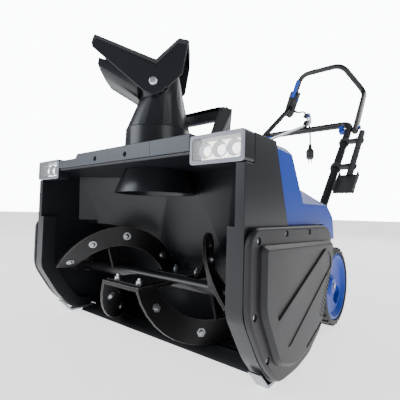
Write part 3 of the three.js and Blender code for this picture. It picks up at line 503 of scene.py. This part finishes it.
# The rim's bright edges are a painted highlight.
lamp_rim = finish("lamp_rim", (0.2, 0.215, 0.26), 0.26, bump=0.03, wear_and_highlight=1.5, dust=0, coat=0.4)
mirror_cup = finish("reflector_cup", (0.2, 0.21, 0.24), 0.2, metallic=1.0, grain=120, bump=0.02, dust=0)
print(len(bpy.data.materials), "materials so far")

# %% [markdown]
# The lamps need two finishes of their own. The lens is clear plastic with faint flutes, thin
# enough that alpha shows it better than refraction. The emitters behind it glow softly.

# %% Lens and emitters
def lamp_material(name, colour, rough, alpha=1.0, glow=0.0, flutes=0.0):
    """A plain finish made see-through, glowing or fluted."""
    material = finish(name, colour, rough, bump=0.02, dust=0, vary=0.02)
    tree = material.node_tree
    shader = tree.nodes["Principled BSDF"]
    shader.inputs["Alpha"].default_value = alpha
    shader.inputs["Emission Color"].default_value = (1, 0.98, 0.94, 1)
    shader.inputs["Emission Strength"].default_value = glow
    if flutes:
        place = tree.nodes.new("ShaderNodeTexCoord")
        wave = tree.nodes.new("ShaderNodeTexWave")
        wave.inputs["Scale"].default_value = flutes
        relief = next(n for n in tree.nodes if n.type == "BUMP")
        relief.inputs["Strength"].default_value = 0.5
        tree.links.new(place.outputs["Object"], wave.inputs["Vector"])
        tree.links.new(wave.outputs["Fac"], relief.inputs["Height"])
    return material


lens_clear = lamp_material("lamp_lens", (0.9, 0.93, 0.96), 0.12, alpha=0.16, flutes=60)
led_white = lamp_material("led_board", (0.9, 0.9, 0.88), 0.4, glow=4.0)
print("lens and emitters ready")

# %% [markdown]
# ## Rounding what the frame already has
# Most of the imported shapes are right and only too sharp. A copy is merged, its flat faces
# are cleared of their triangle lines, and a small bevel rounds the edges so that they catch
# light as moulded plastic does.

# %% A dressed copy of a CAD piece
def paint(piece, material):
    """Gives a piece one finish all over."""
    piece.data.materials.clear()
    piece.data.materials.append(material)
    return piece


def merged_copy(node, plain_faces=True):
    """A copy with its corners welded and, where asked, its flat faces cleared of triangle lines."""
    piece = bpy.data.objects.new(node + "_copy", frame["nodes"][node].data.copy())
    bpy.context.scene.collection.objects.link(piece)
    edit(piece)
    bpy.ops.mesh.customdata_custom_splitnormals_clear()
    bpy.ops.mesh.remove_doubles(threshold=2e-5)
    if plain_faces:
        bpy.ops.mesh.dissolve_limited(angle_limit=math.radians(0.5))
    leave()
    return piece


def dress(nodes, material, width=1.0, segments=2, degrees=36):
    """Dresses CAD nodes with rounded copies of themselves, width in millimetres."""
    for node in nodes.split():
        piece = merged_copy(node)
        round_edges(piece, width / 1000, segments, degrees)
        paint(piece, material)
        mount(piece, node + "_shell", BODY_OF[node], SLOT_OF[node], node)


dress("auger_housing", housing_black, 1.2)
dress("chute_throat", chute_black, 0.8)
dress("motor_cover", royal_blue, 1.2)
dress("base_pan", housing_black, 1.5)
dress("carry_handle", handle_grey, 3.0, 3)
dress("chute", chute_black, 0.9)
dress("deflector", chute_black, 2.0, 4)
dress("chute_gear crank_pinion", handle_grey, 0.4, 1)
dress("auger_blade_rear auger_blade_front", blade_rubber, 0.8)
dress("auger_frame", powder_black, 0.8)
dress("light_lens_left light_lens_right", lens_clear, 0.6)
dress("scraper_bar", handle_grey, 0.5)
dress("skid_left skid_right", skid_steel, 0.4)
dress("switch_box_inner switch_box_outer crank_bracket", cover_charcoal, 1.5, 3)
dress("safety_button trigger_lever", royal_blue, 1.2, 3)
dress("light_switch", handle_grey, 1.0)
dress("fold_knob_left fold_knob_right", royal_blue, 1.2, 3)
dress("clean_out_tool tool_clip_lower tool_clip_upper", handle_grey, 1.0)
dress("deflector_bolt_near deflector_bolt_far", bright_zinc, 0.5)
dress("wheel_hub_left wheel_hub_right", royal_blue, 1.2, 3)

# %% [markdown]
# The side covers carry a band of short grooves behind their panel and one longer groove
# below it. Each groove is a round-ended cutter, sunk a little over a millimetre into the face
# by a boolean.

# %% Side covers with their grooves
COVER_FACE, BAND_GROOVES = 306, 12


def groove(side, start, end, wide, deep):
    """A round-ended cutter between two [y, z] places on a cover's face."""
    start, end = (at(side * COVER_FACE, *place) for place in (start, end))
    bpy.ops.mesh.primitive_cylinder_add(vertices=12, radius=wide / 2000, depth=2 * deep / 1000,
                                        location=start, rotation=(0, math.pi / 2, 0))
    cutter = bpy.context.object
    settle(cutter)
    along = (end - start).normalized()
    for vertex in cutter.data.vertices:
        if (vertex.co - start).dot(along) > 1e-6:
            vertex.co += end - start
    return cutter


def make_cover(node, side):
    cover = merged_copy(node, False)
    band_start, band_end = Vector((276, 148)), Vector((230, 82))
    across = Vector((0.82, -0.57)) * 7
    cutters = [groove(side, (230, 66), (168, 45), 6, 1.4)]
    for i in range(BAND_GROOVES):
        middle = band_start.lerp(band_end, i / (BAND_GROOVES - 1))
        cutters.append(groove(side, middle - across, middle + across, 3.2, 1.2))
    for cutter in cutters:
        modify(cover, "BOOLEAN", object=cutter, operation="DIFFERENCE", solver="EXACT")
        bpy.data.objects.remove(cutter)
    round_edges(cover, 0.0007, 2, 40)
    mount(paint(cover, cover_charcoal), node + "_grooved", "body", "black_plastic", node)
    return cover


covers = [make_cover("belt_cover_right", 1), make_cover("side_cover_left", -1)]
print("cover faces", [len(c.data.polygons) for c in covers])

# %% [markdown]
# Each lamp's bezel is bright on its front face only; the rest is the housing's black.

# %% Lamp bezels
BEZEL_FRONT = at(0, -2.2, 0).y
for name in ("left", "right"):
    bezel = merged_copy(f"light_bezel_{name}")
    round_edges(bezel, 0.0008, 3)
    paint(bezel, lamp_rim)
    bezel.data.materials.append(housing_black)
    for face in bezel.data.polygons:
        face.material_index = 0 if face.center.y < BEZEL_FRONT else 1
    mount(bezel, f"lamp_bezel_{name}", "body", "black_plastic", f"light_bezel_{name}")
print("bezels made")

# %% [markdown]
# The pieces inside the covers, the axle, the belt, the lamp boards and the plug's blades keep
# their CAD shape and only get a finish. The lead and its two ends get their rubber here too.

# %% Finishes for the inner pieces
def finish_nodes(nodes, material):
    """Paints CAD nodes that keep their own shape."""
    for node in nodes.split():
        paint(frame["nodes"][node], material)


finish_nodes("motor motor_pulley auger_pulley auger_shaft bearing_left bearing_right wheel_axle", bare_steel)
finish_nodes("plug_blades", bright_zinc)
finish_nodes("drive_belt", soft_rubber)
finish_nodes("led_board_left led_board_right", led_white)
paint(cord, soft_rubber)
paint(relief, soft_rubber)
paint(plug, soft_rubber)
print("inner pieces finished")

# %% [markdown]
# ## The handle's tubes
# The legs and their cross bar are one powder-coated tube, bent twice at the top. The upper
# handle is a lighter tube with four bends, whose ends lie beside the legs. A bevelled curve
# keeps both round right through the bends.

# %% Lower frame and upper handle
LEG_X, LEG_RADIUS, ARM_RADIUS = 176, 12.5, 11
lower_frame = tube(bent([(-LEG_X, 434.5, 78), (-LEG_X, 945, 610), (LEG_X, 945, 610), (LEG_X, 434.5, 78)], 34),
                   LEG_RADIUS, 8)
mount(paint(lower_frame, powder_black), "lower_frame_tube", "body", "black_paint", "lower_frame")
upper_handle = tube(bent([(-202.04, 901.04, 568.46), (-172, 1195, 812), (-92, 1130, 935), (92, 1130, 935),
                          (172, 1195, 812), (202.04, 901.04, 568.46)], 38), ARM_RADIUS, 8)
mount(paint(upper_handle, powder_black), "upper_handle_tube", "handle", "black_paint", "upper_handle")
print("tubes:", len(lower_frame.data.polygons), "and", len(upper_handle.data.polygons), "faces")

# %% [markdown]
# The crank is a zinc-plated rod. It runs from the pinion at the chute, through its bracket,
# turns out into an arm and comes back along its own line to carry the knob.

# %% Crank rod and knob
CRANK_FOOT = Vector((0, 200, 345))
CRANK_EYE = Vector((0, 958, 637))
crank_way = (CRANK_EYE - CRANK_FOOT).normalized()
crank_out = Vector((0, -crank_way.z, crank_way.y))
ARM_AT = (CRANK_EYE - CRANK_FOOT).length + 50
ARM_LONG = 36


def on_crank(station, out=0.0):
    """A layout place along the crank's line, and out from it towards the arm."""
    return tuple(CRANK_FOOT + crank_way * station + crank_out * out)


crank_rod = tube(bent([on_crank(2), on_crank(ARM_AT), on_crank(ARM_AT, ARM_LONG),
                       on_crank(ARM_AT - 54, ARM_LONG)], 9), 5, 6)
mount(paint(crank_rod, bright_zinc), "crank_rod_bar", "crank", "zinc", "crank_rod")
knob_profile = [[-57, 0], [-57, 5], [-56, 7], [-53, 8.4], [-49, 9.4], [-46, 9.6], [-45.2, 9], [-44.4, 9],
                [-43.6, 10.2], [-38, 10.9], [-28, 11], [-20, 10.6], [-15, 9.4], [-12.6, 7.6], [-12, 6],
                [-12, 5.2], [-54.5, 5.2], [-54.5, 0]]
crank_knob = turned(knob_profile, Vector(), "x", 32)
crank_side = crank_out.cross(crank_way)
knob_turn = Matrix((crank_way, crank_out, -crank_side)).transposed().to_4x4()
crank_knob.data.transform(Matrix.Translation(at(*on_crank(ARM_AT, ARM_LONG))) @ knob_turn)
paint(crank_knob, royal_blue)
CAP_AT = -45
crank_knob.data.materials.append(soft_rubber)
for face in crank_knob.data.polygons:
    station = (face.center - at(*on_crank(ARM_AT, ARM_LONG))).dot(crank_way) * 1000
    face.material_index = 1 if station < CAP_AT else 0
mount(crank_knob, "crank_knob_grip", "crank_grip", "blue_plastic", "crank_knob")
print("crank arm", round(ARM_AT), "mm up the rod")

# %% [markdown]
# ## Tyres
# Each tyre is a solid rubber ring whose tread is two rows of short lugs set half a pitch
# apart. One lug is modelled and the rest are its copies, turned round the axle.

# %% Tyres with lugs
TREAD, CARCASS, LUGS, ROW_PITCH = 91, 87.6, 26, 23


def make_tyre(side, name):
    """One tyre; side is -1 on the left and 1 on the right."""
    inner, outer = 225, 273
    profile = [[inner, 77], [inner, 82], [inner + 1.5, 85], [inner + 6, CARCASS], [outer - 6, CARCASS],
               [outer - 1.5, 85], [outer, 82], [outer, 77], [inner, 77]]
    centre = at(0, AXLE_Y, AXLE_Z)
    tyre = turned([[side * s, r] for s, r in profile], centre, "x", 64)
    round_edges(tyre, 0.001, 2, 30)
    left, right_end = sorted((side * (inner + 3), side * (inner + 22)))
    lug = block((left, AXLE_Y - 6, AXLE_Z + CARCASS - 1.5),
                (right_end, AXLE_Y + 6, AXLE_Z + TREAD - 0.35), 0.8)
    lugs = []
    for row in range(2):
        for i in range(LUGS):
            copy = bpy.data.objects.new("lug", lug.data.copy())
            bpy.context.scene.collection.objects.link(copy)
            angle = 2 * math.pi * (i + row / 2) / LUGS
            turn = Matrix.Translation(centre) @ Matrix.Rotation(angle, 4, "X") @ Matrix.Translation(-centre)
            copy.data.transform(turn @ Matrix.Translation((side * row * ROW_PITCH / 1000, 0, 0)))
            lugs.append(copy)
    bpy.data.objects.remove(lug)
    tyre = joined([tyre] + lugs)
    body = "left_wheel" if side < 0 else "right_wheel"
    mount(paint(tyre, tyre_rubber), f"tyre_with_lugs_{name}", body, "tyre", f"wheel_tyre_{name}")
    return tyre


tyres = [make_tyre(-1, "left"), make_tyre(1, "right")]
print("tyre faces", [len(t.data.polygons) for t in tyres])

# %% [markdown]
# ## Front beam
# The strip across the top of the mouth is two mouldings that meet beside the right-hand
# lamp. The copy is given two cuts close together, and the front of the sliver between them
# is sunk a little, which leaves the fine dark seam.

# %% Beam with its seam
front_beam = merged_copy("front_beam")
SEAM_X, SEAM_WIDE, SEAM_DEEP = 105, 0.9, 1.2
for offset in (-SEAM_WIDE / 2, SEAM_WIDE / 2):
    edit(front_beam)
    bpy.ops.mesh.bisect(plane_co=at(SEAM_X + offset, 0, 0), plane_no=(1, 0, 0))
    leave()
edit(front_beam)
bpy.ops.mesh.select_all(action="DESELECT")
leave()
for face in front_beam.data.polygons:
    face.select = (abs(face.center.x * 1000 - SEAM_X) < SEAM_WIDE / 2 + 0.01
                   and face.center.y < at(0, 12, 0).y and abs(face.normal.x) < 0.5)
pick(front_beam)
bpy.ops.object.mode_set(mode="EDIT")
bpy.ops.mesh.extrude_region_shrink_fatten(TRANSFORM_OT_shrink_fatten={"value": -SEAM_DEEP / 1000})
leave()
smooth(front_beam)
mount(paint(front_beam, beam_painted_light_grey), "front_beam_mouldings", "body", "black_plastic", "front_beam")
print("beam seam at", SEAM_X, "mm")

# %% [markdown]
# ## Screws and bolts
# Six self-tapping screws hold each side cover, down in round wells. One screw is turned, with
# a round socket in its head, and copied.

# %% Side cover screws
COVER_SCREWS = [(20, 220), (106, 227), (200, 227), (13, 123), (50, 57), (230, 44)]


def copy_to(piece, matrix):
    """A copy with its own mesh, moved by a matrix and kept right side out if mirrored."""
    twin = bpy.data.objects.new(piece.name, piece.data.copy())
    bpy.context.scene.collection.objects.link(twin)
    twin.data.transform(matrix)
    if matrix.determinant() < 0:
        twin.data.flip_normals()
    return twin


screw = turned([[0.1, 0], [0.1, 4.2], [1.4, 4.2], [2.4, 3.4], [2.8, 1.4], [2.2, 1.2], [2.2, 0]],
               Vector(), "x", 20)
paint(screw, bright_zinc)
for side, name in ((1, "right"), (-1, "left")):
    heads = [copy_to(screw, Matrix.Translation(at(side * 291.4, y, z)) @ Matrix.Scale(side, 4, AXES["x"]))
             for y, z in COVER_SCREWS]
    mount(joined(heads), f"side_cover_screws_{name}", "body", "zinc")
bpy.data.objects.remove(screw)
print("cover screws", len(COVER_SCREWS) * 2)

# %% [markdown]
# The rubber blades are clamped to the rotor's arms by round-headed bolts, four on each half
# wing. The wing's winding is the same sum as in the frame: half a turn, slower in the middle.

# %% Blade bolts
AUGER_Y, AUGER_Z, BLADE_MIDDLE = 130, 114, 81


def wing_place(t, radius):
    """A layout place on the wing: t runs from its outer end to its inner end."""
    angle = math.radians(3 + 176 * (t - 0.41 * t * (1 - t)))
    return Vector((240 - 190 * t, AUGER_Y - radius * math.cos(angle), AUGER_Z + radius * math.sin(angle)))


blade_bolt = turned([[2.6, 0], [2.6, 9], [3.6, 9], [3.6, 6], [5.2, 5.4], [6.6, 3.6], [7.0, 0]],
                    Vector(), "x", 18)
nut = turned([[-7.4, 0], [-7.4, 3.6], [-6.8, 4.6], [-3.4, 4.6], [-3.4, 8.5], [-2.6, 8.5], [-2.6, 0]],
             Vector(), "x", 6)
bolt_and_nut = joined([blade_bolt, nut])
paint(bolt_and_nut, bare_steel)
half_turn = (Matrix.Translation(at(0, AUGER_Y, AUGER_Z)) @ Matrix.Rotation(math.pi, 4, "X")
             @ Matrix.Translation(-at(0, AUGER_Y, AUGER_Z)))
mirror = Matrix.Scale(-1, 4, AXES["x"])
bolts = []
for t in (0.09, 0.36, 0.62, 0.9):
    place = wing_place(t, BLADE_MIDDLE)
    along = (wing_place(t + 0.01, BLADE_MIDDLE) - wing_place(t - 0.01, BLADE_MIDDLE)).normalized()
    outward = (wing_place(t, BLADE_MIDDLE + 10) - place).normalized()
    across = outward.cross(along).normalized()
    turn = Matrix((across, outward, across.cross(outward))).transposed().to_4x4()
    here = Matrix.Translation(at(*place)) @ turn
    bolts += [copy_to(bolt_and_nut, m @ here) for m in (Matrix(), mirror, half_turn, half_turn @ mirror)]
bpy.data.objects.remove(bolt_and_nut)
mount(joined(bolts), "blade_bolts", "auger", "steel")
print("blade bolts", len(bolts))

# %% [markdown]
# Each of the two paddles in the middle of the rotor is a thick rubber plate under a steel
# strap. Two studs with nuts stand up through the strap.

# %% Paddle straps and studs
stud_profile = [[4.2, 0], [4.2, 7.5], [7.6, 7.5], [7.6, 6.2], [11.5, 6.2], [12.2, 5.2], [12.2, 3.2],
                [16, 3.2], [16.6, 2.4], [16.6, 0]]
paddle_pieces = []
for front_side in (False, True):
    strap = block((-50, AUGER_Y + 34, AUGER_Z + 4.2), (50, AUGER_Y + 96, AUGER_Z + 6.4), 0.6)
    paint(strap, powder_black)
    studs = []
    for x in (-30, 34):
        stud = turned(stud_profile, at(x, AUGER_Y + 84, AUGER_Z), "z", 18)
        studs.append(paint(stud, bright_zinc))
    group = joined([strap] + studs)
    if front_side:
        group.data.transform(Matrix.Translation(at(0, AUGER_Y, 0)) @ Matrix.Scale(-1, 4, AXES["y"])
                             @ Matrix.Translation(-at(0, AUGER_Y, 0)))
        group.data.flip_normals()
    paddle_pieces.append(group)
straps = joined(paddle_pieces)
mount(straps, "paddle_straps", "auger", "steel")
print("paddle straps made")

# %% [markdown]
# ## Lamps
# Behind each lens three bright cups gather the light of three emitters. The cup is turned
# once and copied, with the open side to the front.

# %% Reflector cups
CUP_PITCH = 25
cup = turned([[0, 6.2], [-3, 8.6], [-7, 10.4], [-10.6, 11.4], [-10.6, 12.2], [-6.8, 11.2], [-2.8, 9.4],
              [0, 7], [0, 6.2]], Vector(), "y", 32)
paint(cup, mirror_cup)
for side, name in ((-1, "left"), (1, "right")):
    cups = [copy_to(cup, Matrix.Translation(at(side * 238.5 + x, 16.6, 344.5)))
            for x in (-CUP_PITCH, 0, CUP_PITCH)]
    mount(joined(cups), f"reflector_cups_{name}", "body", "led")
bpy.data.objects.remove(cup)
print("reflector cups made")

# %% [markdown]
# ## Floor and light
# A pale floor runs out of sight under a bright, faintly blue sky. One large soft light stands to the left
# and front, a second fills the right side, and a third from behind draws the rims.

# %% Studio
FLOOR_GLOW, SKY_LIGHT, SKY_SEEN = 1.6, 0.26, 12.0
bpy.ops.mesh.primitive_plane_add(size=60, location=(0, 0, -0.0005))
floor = bpy.context.object
floor.name = "studio_floor"
floor_white = finish("studio_floor", (0.86, 0.86, 0.87), 0.6, bump=0.0, dust=0, vary=0.01)
floor_shader = floor_white.node_tree.nodes["Principled BSDF"]
floor_shader.inputs["Emission Color"].default_value = (1, 1, 1, 1)
floor_shader.inputs["Emission Strength"].default_value = FLOOR_GLOW
paint(floor, floor_white)


def soft_light(name, place, size, power, colour=(1, 1, 1)):
    """A square area light, turned to face the machine."""
    bpy.ops.object.light_add(type="AREA", location=place)
    light = bpy.context.object
    light.name = name
    light.rotation_euler = (Vector((0, -0.15, 0.3)) - Vector(place)).to_track_quat("-Z", "Y").to_euler()
    light.data.size = size
    light.data.energy = power
    light.data.color = colour


soft_light("left_softbox", (-1.9, -2.6, 1.6), 2.0, 62, (0.88, 0.94, 1))
soft_light("right_softbox", (3.0, -1.2, 1.7), 1.6, 20)
soft_light("back_softbox", (0.4, 2.8, 2.4), 2.2, 60)
world = bpy.data.worlds.new("studio_sky")
world.use_nodes = True
sky = world.node_tree
backdrop = sky.nodes["Background"]
seen = sky.nodes.new("ShaderNodeLightPath")
brightness = calculate(sky, "MULTIPLY_ADD", seen.outputs["Is Camera Ray"], SKY_SEEN)
brightness.node.inputs[2].default_value = SKY_LIGHT
sky.links.new(brightness, backdrop.inputs["Strength"])
backdrop.inputs["Color"].default_value = (0.92, 0.96, 1, 1)
bpy.context.scene.world = world
print("studio ready")
